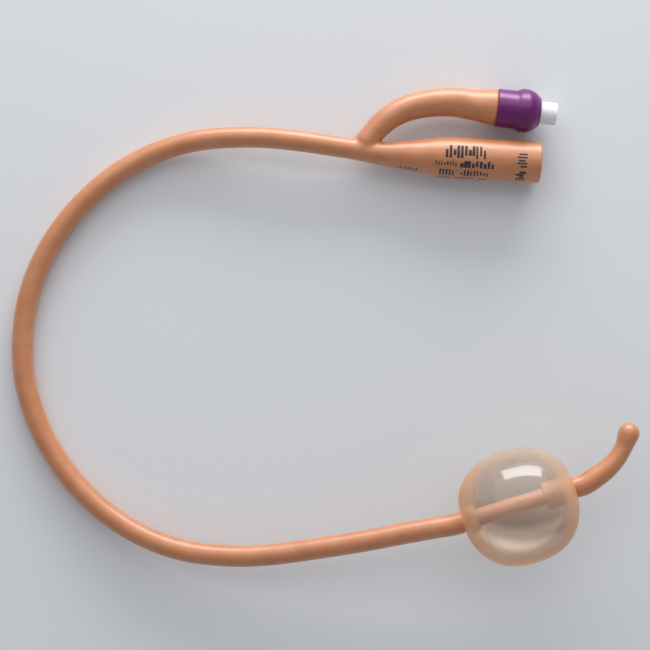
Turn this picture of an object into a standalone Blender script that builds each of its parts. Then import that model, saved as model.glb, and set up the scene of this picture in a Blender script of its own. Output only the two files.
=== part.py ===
# Foley urinary catheter, 18 French, with a curved olive tip and its balloon filled.
# It lies on a table as it would come to rest. Units are metres and +Z is up.
# +X runs along the drainage funnel and out of its mouth. The origin is on the table
# under the middle of the whole catheter.
# Run with: blender --background --python part.py

import math

import bmesh
import bpy
from mathutils import Matrix, Vector

# Driving dimensions of the tube
shaft_diameter = 0.0061
fork_shaft_diameter = 0.0059
full_width_from_mouth = 0.1500
drain_lumen_diameter = 0.0029
inflation_lumen_diameter = 0.0008
lumen_septum = 0.00025
seat_gap = 0.0002

# Driving dimensions of the drainage funnel
funnel_mouth_diameter = 0.0119
funnel_shoulder_diameter = 0.0119
funnel_wall = 0.00125
funnel_straight = 0.0272
funnel_taper = 0.0175
funnel_neck_diameter = 0.0067
funnel_run_out = 0.0100
funnel_corner_ease = 0.0016
funnel_lead = 0.0008
drain_bend_lead = 0.0040
funnel_axis_y = 0.0498
rim_round = 0.00025

# Driving dimensions of the curved tip
olive_diameter = 0.0060
tip_neck_diameter = 0.0050
tip_neck_from_end = 0.0072
tip_taper = 0.0140
eye_length = 0.0052
eye_width = 0.0024
eye_past_collar = 0.0001
eye_stagger = 0.0068
lumen_past_eye = 0.0012

# Driving dimensions of the balloon
balloon_diameter = 0.0324
balloon_length = 0.0332
balloon_wall = 0.00035
balloon_squareness = 2.3
balloon_aside = 0.0007
shoulder_roll = 0.0005
recess_flare = 0.0003
recess_clearance = 0.00045
near_recess = 0.0040
far_recess = 0.0087
collar_end_inset = 0.0010
port_diameter = 0.0010
port_from_middle = 0.0050
lumen_past_port = 0.0010
straight_before_balloon = 0.0022
straight_past_balloon = 0.0028
balloon_centre_x = 0.0572
balloon_centre_y = -0.0476
balloon_turn = math.radians(20.5)
balloon_rise = math.radians(2.5)

# Driving dimensions of the inflation arm
arm_root_diameter = 0.0061
arm_root_before_fork_end = 0.0018
arm_rise_share = 0.5
arm_flare_length = 0.0045
arm_bore_diameter = 0.0044
arm_lumen_diameter = 0.0014
arm_nose_wall = 0.0003
arm_nose_roundness = 1.4
arm_flare_wall = 0.00135
arm_wall_past_valve = 0.0005
arm_straight_past_valve = 0.0023
arm_wall_at_flange = 0.0007
arm_wall_at_barrel = 0.00095

# Driving dimensions of the valve, measured in from the mouth of its spigot
valve_mouth_x = 0.0634
valve_mouth_y = 0.0637
valve_tilt = math.radians(-3.5)
spigot_diameter = 0.0064
luer_mouth_diameter = 0.0043
luer_taper = 0.06
luer_depth = 0.0084
throat_diameter = 0.0025
throat_length = 0.0008
spigot_reach = 0.0047
shoulder_cone_length = 0.0030
flange_diameter = 0.0092
flange_length = 0.0014
barrel_diameter = 0.0072
barrel_length = 0.0210
chamber_diameter = 0.0047
edge_chamfer = 0.0003

# Driving dimensions of the coloured sleeve
sleeve_wall = 0.0005
sleeve_length = 0.0125
sleeve_waist_run = 0.0022

# Driving dimensions of the valve's inner pieces
stem_travel = 0.0015
stem_rod_diameter = 0.0015
stem_head_diameter = 0.0031
stem_head_length = 0.0014
stem_rib_thickness = 0.0008
stem_flange_diameter = 0.0039
stem_flange_length = 0.0007
stem_tail_length = 0.0019
seal_diameter = 0.0040
seal_length = 0.0010
seal_chamfer = 0.0003
spring_wire = 0.00034
spring_mean_diameter = 0.0029
spring_length = 0.0044
spring_turns = 4.5
retainer_bore = 0.0016
retainer_rim_inset = 0.0005
retainer_rim_length = 0.0010

# Facets of the round pieces and spacing of the tubes' rings
shaft_ring_spacing = 0.0052
funnel_ring_spacing = 0.0130
taper_ring_spacing = 0.0026
core_ring_spacing = 0.0110
tip_ring_spacing = 0.0018
arm_ring_spacing = 0.0032
seat_ring_spacing = 0.0011
lumen_ring_spacing = 0.0065
half_step = 0.00005
cut_overshoot = 0.0020
spring_points_per_turn = 10
tube_sides = 16
lumen_sides = 12
fine_lumen_sides = 8
balloon_steps = 24
valve_steps = 24
inner_steps = 20

# Where the tube runs from the funnel's neck, left round the loop, until it comes in to the
# balloon: across the table, and how far the tube's underside is lifted off it
shaft_route = [
    (0.0140, 0.0499, 0.0030),
    (0.0095, 0.0504, 0.0033),
    (0.0030, 0.0510, 0.0038),
    (-0.0015, 0.0514, 0.0042),
    (-0.0095, 0.0521, 0.0047),
    (-0.0197, 0.0526, 0.0044),
    (-0.0289, 0.0523, 0.0033),
    (-0.0380, 0.0512, 0.0020),
    (-0.0470, 0.0487, 0.0009),
    (-0.0553, 0.0448, 0.0003),
    (-0.0630, 0.0396, 0.0001),
    (-0.0698, 0.0333, 0.0),
    (-0.0756, 0.0261, 0.0),
    (-0.0804, 0.0182, 0.0),
    (-0.0839, 0.0097, 0.0),
    (-0.0860, 0.0007, 0.0),
    (-0.0866, -0.0085, 0.0),
    (-0.0859, -0.0177, 0.0),
    (-0.0835, -0.0266, 0.0),
    (-0.0798, -0.0350, 0.0),
    (-0.0748, -0.0428, 0.0001),
    (-0.0688, -0.0498, 0.0004),
    (-0.0619, -0.0558, 0.0010),
    (-0.0541, -0.0607, 0.0018),
    (-0.0456, -0.0644, 0.0027),
    (-0.0367, -0.0666, 0.0037),
    (-0.0275, -0.0673, 0.0046),
    (-0.0184, -0.0670, 0.0055),
    (-0.0093, -0.0657, 0.0065),
]

# How it comes in to the balloon: along the way that the balloon lies, to the inner side of
# the loop, and up, from where its last straight piece starts
approach_route = [
    (-0.0322, 0.0037, -0.0037),
    (-0.0232, 0.0026, -0.0026),
    (-0.0142, 0.0017, -0.0015),
    (-0.0063, 0.0008, -0.0006),
]

# How the tip curves up to the middle of its olive end, told the same way from where the
# straight piece past the balloon ends
tip_route = [
    (0.0040, 0.0011, 0.0002),
    (0.0073, 0.0023, 0.0003),
    (0.0105, 0.0041, 0.0003),
    (0.0134, 0.0066, 0.0003),
    (0.0160, 0.0099, 0.0003),
]

# How the inflation arm curves from its root to its straight end, as shares of the way
# between them: how far along, and how far out to the side
arm_route = [
    (0.074, 0.035),
    (0.173, 0.084),
    (0.264, 0.123),
    (0.356, 0.150),
    (0.454, 0.162),
    (0.551, 0.159),
    (0.647, 0.144),
    (0.741, 0.121),
    (0.832, 0.090),
    (0.917, 0.052),
]

# Sizes that follow from the driving ones
shaft_radius = shaft_diameter / 2
core_radius = shaft_radius - balloon_wall - seat_gap
drain_radius = drain_lumen_diameter / 2
inflation_radius = inflation_lumen_diameter / 2
lumen_pair = drain_lumen_diameter + lumen_septum + inflation_lumen_diameter
drain_offset = lumen_pair / 2 - drain_radius
inflation_offset = lumen_pair / 2 - inflation_radius
funnel_height = funnel_mouth_diameter / 2
funnel_neck = funnel_straight + funnel_taper
fork_end = funnel_neck + funnel_run_out
core_half = balloon_length / 2 - collar_end_inset + seat_gap
shoulder_radius = shaft_radius + recess_clearance + recess_flare + shoulder_roll
sleeve_bulge_radius = (
    flange_diameter / 2 + seat_gap + arm_wall_at_flange + seat_gap + sleeve_wall
)
valve_height = sleeve_bulge_radius
arm_end = spigot_reach + sleeve_wall + seat_gap
cone_start = arm_end + seat_gap
flange_start = cone_start + shoulder_cone_length
flange_end = flange_start + flange_length
sleeve_end = spigot_reach + sleeve_length
pocket_end = barrel_length + retainer_rim_length + 2 * seat_gap
arm_flare_radius = barrel_diameter / 2 + seat_gap + arm_flare_wall
arm_end_radius = barrel_diameter / 2 + seat_gap + arm_wall_past_valve
chamber_start = luer_depth + throat_length
stem_head_start = luer_depth - stem_travel - stem_head_length - 1.5 * seat_gap
seal_start = chamber_start + seat_gap
stem_flange_start = seal_start + seal_length + seat_gap
spring_start = stem_flange_start + stem_flange_length + seat_gap
retainer_start = spring_start + spring_length + seat_gap


def clear_scene():
    for old in list(bpy.data.objects):
        bpy.data.objects.remove(old, do_unlink=True)


def new_collection(name):
    collection = bpy.data.collections.new(name)
    bpy.context.scene.collection.children.link(collection)
    return collection


def new_material(name, colour, roughness, metallic=0.0, alpha=1.0):
    material = bpy.data.materials.new(name)
    material.use_nodes = True
    shader = material.node_tree.nodes["Principled BSDF"]
    shader.inputs["Base Color"].default_value = (*colour, 1.0)
    shader.inputs["Roughness"].default_value = roughness
    shader.inputs["Metallic"].default_value = metallic
    shader.inputs["Alpha"].default_value = alpha
    return material


# Numbers along a path

def smooth_path(points):
    """Close points on the smooth curve through the given ones, with their distances."""
    guide = [Vector(p) for p in points]
    guide = [2 * guide[0] - guide[1]] + guide + [2 * guide[-1] - guide[-2]]
    fine = []
    pieces = 24
    for a, b, c, d in zip(guide, guide[1:], guide[2:], guide[3:]):
        span = (c - b).length
        start_slope = (c - a) / (c - a).length * span
        end_slope = (d - b) / (d - b).length * span
        for k in range(pieces):
            t = k / pieces
            fine.append(
                (2 * t**3 - 3 * t**2 + 1) * b
                + (t**3 - 2 * t**2 + t) * start_slope
                + (3 * t**2 - 2 * t**3) * c
                + (t**3 - t**2) * end_slope
            )
    fine.append(guide[-2])
    return fine, distances(fine)


def distances(points):
    run = [0.0]
    for a, b in zip(points, points[1:]):
        run.append(run[-1] + (b - a).length)
    return run


def at_distance(path, distance):
    """Place and direction on a path at a distance from its start."""
    points, run = path
    last = len(points) - 2
    low = 0
    while low < last and run[low + 1] < distance:
        low += 1
    step = points[low + 1] - points[low]
    share = (distance - run[low]) / step.length
    return points[low] + step * share, step.normalized()


def nearest_distance(path, place):
    points, run = path
    best = min(range(len(points)), key=lambda k: (points[k] - place).length)
    return run[best]


def sideways(direction):
    """Level unit vector to the right of a direction, the outer side of the loop."""
    return direction.cross(Vector((0, 0, 1))).normalized()


def eased(stations, distance):
    """Value at a distance, easing from each (distance, value) station to the next."""
    if distance <= stations[0][0]:
        return stations[0][1]
    for (d0, v0), (d1, v1) in zip(stations, stations[1:]):
        if distance <= d1:
            t = (distance - d0) / (d1 - d0)
            return v0 + (v1 - v0) * t * t * (3 - 2 * t)
    return stations[-1][1]


def straight_between(stations, distance):
    """Value at a distance, on straight lines between the stations."""
    if distance <= stations[0][0]:
        return stations[0][1]
    for (d0, v0), (d1, v1) in zip(stations, stations[1:]):
        if distance <= d1:
            return v0 + (v1 - v0) * (distance - d0) / (d1 - d0)
    return stations[-1][1]


def spread(start, end, spacing):
    """Evenly spaced numbers from start to end, about a spacing apart."""
    count = max(1, round((end - start) / spacing))
    return [start + (end - start) * k / count for k in range(count + 1)]


def merged(*lists):
    """All the numbers of the lists in order, with near doubles left out."""
    kept = []
    for value in sorted(v for numbers in lists for v in numbers):
        if not kept or value - kept[-1] > half_step * 0.8:
            kept.append(value)
    return kept


# Shapes

def mesh_object(name, mesh, collection, material=None, parent=None):
    made = bpy.data.objects.new(name, mesh)
    collection.objects.link(made)
    made.parent = parent
    if material:
        mesh.materials.clear()
        mesh.materials.append(material)
    return made


def tube(name, places, radii, sides, collection, material=None):
    """Tube along the places, each with its own radius, as a welded mesh."""
    unit = 0.001
    curve = bpy.data.curves.new(name + "_line", "CURVE")
    curve.dimensions = "3D"
    curve.fill_mode = "FULL"
    curve.bevel_depth = unit
    curve.bevel_resolution = (sides - 4) // 2
    curve.use_fill_caps = True
    spline = curve.splines.new("POLY")
    spline.points.add(len(places) - 1)
    for point, place, radius in zip(spline.points, places, radii):
        point.co = (*place, 1.0)
        point.radius = radius / unit
    line = bpy.data.objects.new(name + "_line", curve)
    bpy.context.scene.collection.objects.link(line)
    bpy.context.view_layer.update()
    evaluated = line.evaluated_get(bpy.context.evaluated_depsgraph_get())
    mesh = bpy.data.meshes.new_from_object(evaluated)
    mesh.name = name
    welded = bmesh.new()
    welded.from_mesh(mesh)
    bmesh.ops.remove_doubles(welded, verts=welded.verts, dist=0.000001)
    welded.to_mesh(mesh)
    welded.free()
    made = mesh_object(name, mesh, collection, material)
    made.matrix_world = line.matrix_world
    bpy.data.objects.remove(line, do_unlink=True)
    return made


def turned(name, profile, steps, collection, material=None, parent=None, ring=False):
    """Profile of (radius, height) points turned about local Z. A ring's profile closes."""
    mesh = bpy.data.meshes.new(name)
    edges = [(k, k + 1) for k in range(len(profile) - 1)]
    if ring:
        edges.append((len(profile) - 1, 0))
    mesh.from_pydata([(r, 0, z) for r, z in profile], edges, [])
    made = mesh_object(name, mesh, collection, material, parent)
    turn = made.modifiers.new("turn", "SCREW")
    turn.axis = "Z"
    turn.steps = steps
    turn.render_steps = steps
    turn.use_merge_vertices = True
    turn.merge_threshold = 0.000002
    turn.use_smooth_shade = True
    return made


def ellipsoid(name, centre, along, out, half_sizes, collection):
    """Egg shape whose long axis lies along one direction and short axis points out."""
    mesh = bpy.data.meshes.new(name)
    shape = bmesh.new()
    bmesh.ops.create_uvsphere(shape, u_segments=14, v_segments=9, radius=1.0)
    shape.to_mesh(mesh)
    shape.free()
    across = out.cross(along).normalized()
    turn = Matrix((along, across, out)).transposed().to_4x4()
    mesh.transform(turn @ Matrix.Diagonal((*half_sizes, 1.0)))
    made = mesh_object(name, mesh, collection)
    made.location = centre
    return made


def as_cutter(cutter):
    cutter.hide_render = True
    cutter.display_type = "WIRE"
    return cutter


def combine(body, other, operation):
    change = body.modifiers.new(other.name, "BOOLEAN")
    change.operation = operation
    change.solver = "EXACT"
    change.object = as_cutter(other)


def smooth_round(made, angle=40):
    made.data.shade_smooth()
    made.data.set_sharp_from_angle(angle=math.radians(angle))


# The lines that the tube follows

def balloon_axis():
    return Vector(
        (
            math.cos(balloon_turn) * math.cos(balloon_rise),
            math.sin(balloon_turn) * math.cos(balloon_rise),
            math.sin(balloon_rise),
        )
    )


def balloon_centre():
    """The balloon rests on the table, so its reach down its own tilt sets its height."""
    power = balloon_squareness / (balloon_squareness - 1)
    down_side = balloon_diameter / 2 * math.cos(balloon_rise)
    down_end = balloon_length / 2 * math.sin(balloon_rise)
    height = (down_side**power + down_end**power) ** (1 / power)
    return Vector((balloon_centre_x, balloon_centre_y, height))


def valve_outward():
    return Vector((math.cos(valve_tilt), math.sin(valve_tilt), 0))


def valve_mouth():
    return Vector((valve_mouth_x, valve_mouth_y, valve_height))


def told_from(place, along, inward, up):
    """A place told from another one by the way that the balloon lies."""
    ahead = Vector((math.cos(balloon_turn), math.sin(balloon_turn), 0))
    return place + ahead * along - sideways(ahead) * inward + Vector((0, 0, up))


def main_line():
    """Line of the whole tube from the funnel's mouth to the end of the olive tip."""
    neck_x = shaft_route[0][0]
    mouth_x = neck_x + funnel_lead + funnel_neck
    mouth = Vector((mouth_x, funnel_axis_y, funnel_height))
    back = (0, funnel_straight / 2, funnel_straight, funnel_straight + funnel_taper * 0.6)
    funnel = [mouth - Vector((d, 0, 0)) for d in back]
    shaft = [Vector((x, y, shaft_radius + lift)) for x, y, lift in shaft_route]
    centre, axis = balloon_centre(), balloon_axis()
    half = balloon_length / 2
    held = (-half - straight_before_balloon, -half, half, half + straight_past_balloon)
    balloon = [centre + axis * d for d in held]
    approach = [told_from(balloon[0], *step) for step in approach_route]
    tip = [told_from(balloon[-1], *step) for step in tip_route]
    end = tip[-1] + (tip[-1] - tip[-2]).normalized() * olive_diameter / 2
    return smooth_path(funnel + shaft + approach + balloon + tip + [end])


class TubeLine:
    """The main tube's line with the places along it that the other shapes are set from."""

    def __init__(self):
        self.path = main_line()
        self.total = self.path[1][-1]
        self.balloon = nearest_distance(self.path, balloon_centre())
        self.side_eye = self.balloon + core_half + eye_past_collar + eye_length / 2
        self.lower_eye = self.side_eye + eye_stagger
        self.drain_end = self.lower_eye + eye_length / 2 + lumen_past_eye

    def outer_radius(self, distance):
        if abs(distance - self.balloon) < core_half:
            return core_radius
        left = self.total - distance
        olive = olive_diameter / 2
        if left < olive:
            return math.sqrt(max(olive**2 - (olive - left) ** 2, 0.0))
        if left < tip_neck_from_end + tip_taper:
            shape = [
                (olive, olive),
                (tip_neck_from_end, tip_neck_diameter / 2),
                (tip_neck_from_end + tip_taper, shaft_radius),
            ]
            return eased(shape, left)
        if distance < rim_round:
            return funnel_mouth_diameter / 2 - rim_round
        return softened(funnel_shape(), distance, funnel_corner_ease)

    def rings(self):
        """Distances of the tube's rings, closer together where its width changes."""
        near = self.balloon - core_half
        far = self.balloon + core_half
        olive_rings = [
            self.total - olive_diameter / 2 * (1 - math.cos(math.radians(a)))
            for a in (12, 30, 48, 66, 84)
        ]
        return merged(
            [0, rim_round],
            spread(rim_round, funnel_straight - funnel_corner_ease, funnel_ring_spacing),
            spread(funnel_straight - funnel_corner_ease, fork_end, taper_ring_spacing),
            spread(fork_end, near - half_step, shaft_ring_spacing),
            spread(near + half_step, far - half_step, core_ring_spacing),
            spread(far + half_step, self.total - olive_diameter * 0.6, tip_ring_spacing),
            olive_rings,
        )


def funnel_shape():
    return [
        (0, funnel_mouth_diameter / 2),
        (funnel_straight, funnel_shoulder_diameter / 2),
        (funnel_neck, funnel_neck_diameter / 2),
        (fork_end, fork_shaft_diameter / 2),
        (full_width_from_mouth, shaft_radius),
    ]


def softened(stations, distance, ease):
    """Straight lines between the stations, with their corners eased."""
    samples = [distance + ease * k / 3 for k in range(-3, 4)]
    return sum(straight_between(stations, s) for s in samples) / len(samples)


# The latex tube: tip, shaft, funnel and arm in one moulding

def arm_line(line):
    """Line of the inflation arm from the fork out to its end under the sleeve."""
    root = at_distance(line.path, fork_end - arm_root_before_fork_end)[0]
    mouth, outward = valve_mouth(), valve_outward()
    back = (pocket_end + arm_straight_past_valve, pocket_end, pocket_end * 0.6, arm_end)
    straight = [mouth - outward * d for d in back]
    way = (straight[0] - root) * Vector((1, 1, 0))
    rise = [(0, root.z), (arm_rise_share, valve_height)]
    curved = [root]
    for along, out in arm_route:
        place = root + way * along - sideways(way) * way.length * out
        place.z = eased(rise, along)
        curved.append(place)
    return smooth_path(curved + straight)


def seat_radius(depth):
    """Outer radius of the arm under the sleeve, at a depth from the spigot's mouth."""
    bulge = flange_diameter / 2 + seat_gap + arm_wall_at_flange
    waist = barrel_diameter / 2 + seat_gap + arm_wall_at_barrel
    nose = spigot_diameter / 2 + seat_gap + arm_nose_wall
    if depth < flange_start:
        left = 1 - (depth - arm_end) / (flange_start - arm_end)
        rounded = (1 - left**arm_nose_roundness) ** (1 / arm_nose_roundness)
        return nose + (bulge - nose) * rounded
    return eased([(flange_end, bulge), (flange_end + sleeve_waist_run, waist)], depth)


def arm_radius(depth, arm_length):
    """Outer radius of the arm at a depth from the spigot's mouth."""
    flare = sleeve_end + seat_gap
    if depth < flare:
        return seat_radius(depth)
    slim = flare + arm_flare_length
    if depth < slim:
        return eased([(flare, arm_flare_radius), (slim, arm_end_radius)], depth)
    root = arm_length + arm_end
    return straight_between([(slim, arm_end_radius), (root, arm_root_diameter / 2)], depth)


def arm_mesh(line, collection):
    path = arm_line(line)
    length = path[1][-1]
    flare = sleeve_end + seat_gap
    depths = merged(
        spread(arm_end, flange_end + sleeve_waist_run, seat_ring_spacing),
        [flare - half_step],
        spread(flare + half_step, flare + arm_flare_length, seat_ring_spacing),
        spread(flare + arm_flare_length, length + arm_end, arm_ring_spacing),
    )
    places = [at_distance(path, length - (d - arm_end))[0] for d in depths]
    radii = [arm_radius(d, length) for d in depths]
    return tube("arm_moulding", places, radii, tube_sides, collection)


def drain_cutter(line, collection):
    """Bore of the funnel, narrowing into the lumen that ends past the drainage eyes."""
    shape = [
        (0, funnel_mouth_diameter / 2 - funnel_wall),
        (funnel_straight, funnel_shoulder_diameter / 2 - funnel_wall),
        (funnel_neck, drain_radius),
    ]
    bend = [(funnel_neck - drain_bend_lead, 0), (fork_end, drain_offset)]
    narrowing = funnel_straight - funnel_corner_ease
    even = funnel_neck + funnel_corner_ease
    along = merged(
        [0],
        spread(narrowing, even, taper_ring_spacing),
        spread(even, line.drain_end - drain_radius / 2, lumen_ring_spacing),
        [line.drain_end],
    )
    places, radii = [], []
    for d in along:
        place, direction = at_distance(line.path, d)
        places.append(place - sideways(direction) * eased(bend, d))
        radii.append(softened(shape, d, funnel_corner_ease))
    radii[-1] = drain_radius / 2
    outside = places[0] + (places[0] - places[1]).normalized() * cut_overshoot
    return tube("drain_lumen", [outside] + places, radii[:1] + radii, lumen_sides, collection)


def inflation_cutter(line, collection):
    """Small lumen from the valve's pocket down the arm and along the shaft's outer side."""
    arm = arm_line(line)
    start = arm[1][-1] - (pocket_end - arm_end)
    bore = [(0, arm_lumen_diameter / 2), (start * 0.8, arm_bore_diameter / 2)]
    places, radii = [], []
    arm_rings = spread(arm_root_diameter * 0.7, start + 3 * seat_gap, arm_ring_spacing)
    for d in reversed(arm_rings):
        places.append(at_distance(arm, d)[0])
        radii.append(eased(bore, d))
    stop = line.balloon - port_from_middle + lumen_past_port
    for d in spread(fork_end + arm_root_diameter / 4, stop, lumen_ring_spacing):
        place, direction = at_distance(line.path, d)
        places.append(place + sideways(direction) * inflation_offset)
        radii.append(inflation_radius)
    return tube("inflation_lumen", places, radii, fine_lumen_sides, collection)


def port_cutter(line, collection):
    """Hole from the inflation lumen out into the balloon."""
    place, direction = at_distance(line.path, line.balloon - port_from_middle)
    out = sideways(direction)
    ends = [place + out * inflation_offset, place + out * (core_radius + cut_overshoot / 2)]
    radii = [port_diameter / 2] * 2
    return tube("balloon_port", ends, radii, fine_lumen_sides, collection)


def eye_cutter(name, line, distance, out_of, collection):
    """Oval drainage eye, deep enough to open into the drainage lumen."""
    place, direction = at_distance(line.path, distance)
    out = out_of(direction)
    radius = line.outer_radius(distance)
    half_sizes = (eye_length / 2, eye_width / 2, radius - drain_radius / 2)
    return ellipsoid(name, place + out * radius, direction, out, half_sizes, collection)


def pocket_cutter(collection, valve_frame):
    """Room in the arm's end for the valve housing and its retainer."""
    spigot = spigot_diameter / 2 + seat_gap
    flange = flange_diameter / 2 + seat_gap
    barrel = barrel_diameter / 2 + seat_gap
    profile = [
        (0, -spigot_reach),
        (spigot, -spigot_reach),
        (spigot, -cone_start + seat_gap / 2),
        (flange, -flange_start + seat_gap / 2),
        (flange, -flange_end - seat_gap),
        (barrel, -flange_end - 2 * seat_gap),
        (barrel, -pocket_end),
        (0, -pocket_end),
    ]
    return turned("valve_pocket", profile, valve_steps, collection, parent=valve_frame)


def build_body(line, parts, cutters, material, valve_frame):
    along = line.rings()
    places = [at_distance(line.path, d)[0] for d in along]
    radii = [line.outer_radius(d) for d in along]
    body = tube("catheter_body", places, radii, tube_sides, parts, material)
    combine(body, arm_mesh(line, cutters), "UNION")
    combine(body, drain_cutter(line, cutters), "DIFFERENCE")
    combine(body, inflation_cutter(line, cutters), "DIFFERENCE")
    combine(body, pocket_cutter(cutters, valve_frame), "DIFFERENCE")
    combine(body, port_cutter(line, cutters), "DIFFERENCE")
    eyes = (
        ("side_eye", line.side_eye, lambda d: -sideways(d)),
        ("lower_eye", line.lower_eye, lambda d: d.cross(sideways(d)).normalized()),
    )
    for name, distance, out_of in eyes:
        combine(body, eye_cutter(name, line, distance, out_of, cutters), "DIFFERENCE")
    smooth_round(body)
    return body


# The balloon

def balloon_profile():
    """Outside of the balloon from the collar near the tip to the collar near the shaft."""
    half, radius = balloon_length / 2, balloon_diameter / 2
    power = balloon_squareness
    shoulder = half * (1 - (shoulder_radius / radius) ** power) ** (1 / power)
    bend = recess_clearance / 2

    def recess(depth, side):
        fold = half - depth
        points = [(shaft_radius, side * (half - collar_end_inset))]
        for k in range(5):
            turn = math.pi * k / 4
            out = shaft_radius + bend - bend * math.cos(turn)
            points.append((out, side * (fold - bend * math.sin(turn))))
        for angle in (180, 135):
            out = shoulder_radius + shoulder_roll * math.cos(math.radians(angle))
            up = shoulder - shoulder_roll + shoulder_roll * math.sin(math.radians(angle))
            points.append((out, side * up))
        return points

    dome = []
    start = math.asin((shoulder_radius / radius) ** (power / 2))
    count = 16
    for k in range(count + 1):
        angle = start + (math.pi - 2 * start) * k / count
        out = radius * math.sin(angle) ** (2 / power)
        up = half * abs(math.cos(angle)) ** (2 / power)
        dome.append((out, math.copysign(up, math.cos(angle))))
    return recess(far_recess, 1) + dome + recess(near_recess, -1)[::-1]


def build_balloon(collection, material):
    made = turned("retention_balloon", balloon_profile(), balloon_steps, collection, material)
    depsgraph = bpy.context.evaluated_depsgraph_get()
    made.data = bpy.data.meshes.new_from_object(made.evaluated_get(depsgraph))
    made.modifiers.clear()
    turn = balloon_axis().to_track_quat("Z", "Y")
    made.location = balloon_centre()
    made.rotation_euler = turn.to_euler()
    # the filled part hangs a little to one side of the tube that it is bonded to
    aside = turn.inverted() @ sideways(balloon_axis()) * balloon_aside
    hang = [(shoulder_radius, 0), (balloon_diameter / 2, 1)]
    for point in made.data.vertices:
        point.co += aside * eased(hang, point.co.xy.length)
    skin = made.modifiers.new("latex_wall", "SOLIDIFY")
    skin.thickness = balloon_wall
    skin.offset = -1
    skin.use_even_offset = True
    return made


# The sleeve and the valve, about the valve's own axis, with the spigot's mouth at zero

def build_valve_frame(collection):
    frame = bpy.data.objects.new("valve_axis", None)
    collection.objects.link(frame)
    frame.location = valve_mouth()
    frame.rotation_euler = valve_outward().to_track_quat("Z", "Y").to_euler()
    return frame


def build_sleeve(collection, material, frame):
    lip = spigot_diameter / 2 + seat_gap
    waist = flange_end + sleeve_waist_run
    depths = spread(arm_end, waist, seat_ring_spacing * 0.8) + [sleeve_end]
    outer = [(seat_radius(d) + seat_gap + sleeve_wall, -d) for d in depths]
    nose = outer[0][0]
    rounding = []
    for angle in (0, 30, 60):
        turn = math.radians(angle)
        out = lip + (nose - lip) * math.sin(turn)
        rounding.append((out, -arm_end + (arm_end - spigot_reach) * math.cos(turn)))
    outer = rounding + outer
    inner = [(seat_radius(d) + seat_gap, -d) for d in reversed(depths)]
    inner.append((inner[-1][0], -spigot_reach - sleeve_wall))
    inner.append((lip, -spigot_reach - sleeve_wall))
    return turned(
        "valve_sleeve", outer + inner, valve_steps, collection, material, frame, ring=True
    )


def build_housing(collection, material, frame):
    spigot, flange, barrel = spigot_diameter / 2, flange_diameter / 2, barrel_diameter / 2
    luer_mouth = luer_mouth_diameter / 2
    luer_bottom = luer_mouth - luer_depth * luer_taper / 2
    throat, chamber = throat_diameter / 2, chamber_diameter / 2
    profile = [
        (spigot - edge_chamfer, 0),
        (spigot, -edge_chamfer),
        (spigot, -cone_start),
        (flange, -flange_start),
        (flange, -flange_end + edge_chamfer),
        (flange - edge_chamfer, -flange_end),
        (barrel, -flange_end),
        (barrel, -barrel_length + edge_chamfer),
        (barrel - edge_chamfer, -barrel_length),
        (chamber, -barrel_length),
        (chamber, -chamber_start),
        (throat, -chamber_start),
        (throat, -luer_depth),
        (luer_bottom, -luer_depth),
        (luer_mouth, 0),
    ]
    return turned("valve_housing", profile, valve_steps, collection, material, frame, ring=True)


def build_stem(collection, cutters, material, frame):
    rod, flange = stem_rod_diameter / 2, stem_flange_diameter / 2
    flange_stop = stem_flange_start + stem_flange_length
    tail = flange_stop + stem_tail_length
    profile = [
        (0, -stem_head_start),
        (rod, -stem_head_start),
        (rod, -stem_flange_start),
        (flange, -stem_flange_start),
        (flange, -flange_stop),
        (rod, -flange_stop),
        (rod, -tail + edge_chamfer),
        (rod - edge_chamfer, -tail),
        (0, -tail),
    ]
    stem = turned("valve_stem", profile, inner_steps, collection, material, frame)
    for k in range(2):
        mesh = bpy.data.meshes.new(f"stem_rib_{k + 1}")
        shape = bmesh.new()
        bmesh.ops.create_cube(shape, size=1.0)
        size = (stem_head_diameter, stem_rib_thickness, stem_head_length)
        bmesh.ops.scale(shape, vec=size, verts=shape.verts)
        shape.to_mesh(mesh)
        shape.free()
        rib = mesh_object(mesh.name, mesh, cutters, parent=frame)
        rib.location = (0, 0, -stem_head_start - stem_head_length / 2)
        rib.rotation_euler = (0, 0, math.radians(90 * k))
        combine(stem, rib, "UNION")
    return stem


def build_seal(collection, material, frame):
    inner, outer = stem_rod_diameter / 2 + seat_gap, seal_diameter / 2
    end = seal_start + seal_length
    profile = [
        (inner, -seal_start),
        (outer - seal_chamfer, -seal_start),
        (outer, -seal_start - seal_chamfer),
        (outer, -end),
        (inner, -end),
    ]
    return turned("valve_seal", profile, inner_steps, collection, material, frame, ring=True)


def build_spring(collection, material, frame):
    count = round(spring_turns * spring_points_per_turn)
    reach = spring_mean_diameter / 2
    top = spring_start + spring_wire / 2
    run = spring_length - spring_wire
    places = []
    for k in range(count + 1):
        angle = 2 * math.pi * k / spring_points_per_turn
        depth = top + run * k / count
        places.append(Vector((reach * math.cos(angle), reach * math.sin(angle), -depth)))
    radii = [spring_wire / 2] * len(places)
    spring = tube("valve_spring", places, radii, fine_lumen_sides, collection, material)
    spring.parent = frame
    smooth_round(spring)
    return spring


def build_retainer(collection, material, frame):
    plug = chamber_diameter / 2 - seat_gap
    bore, rim = retainer_bore / 2, barrel_diameter / 2 - retainer_rim_inset
    rim_start = barrel_length + seat_gap
    end = rim_start + retainer_rim_length
    profile = [
        (bore, -retainer_start),
        (plug - edge_chamfer, -retainer_start),
        (plug, -retainer_start - edge_chamfer),
        (plug, -rim_start),
        (rim, -rim_start),
        (rim, -end + edge_chamfer),
        (rim - edge_chamfer, -end),
        (bore, -end),
    ]
    return turned("valve_retainer", profile, inner_steps, collection, material, frame, ring=True)


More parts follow.
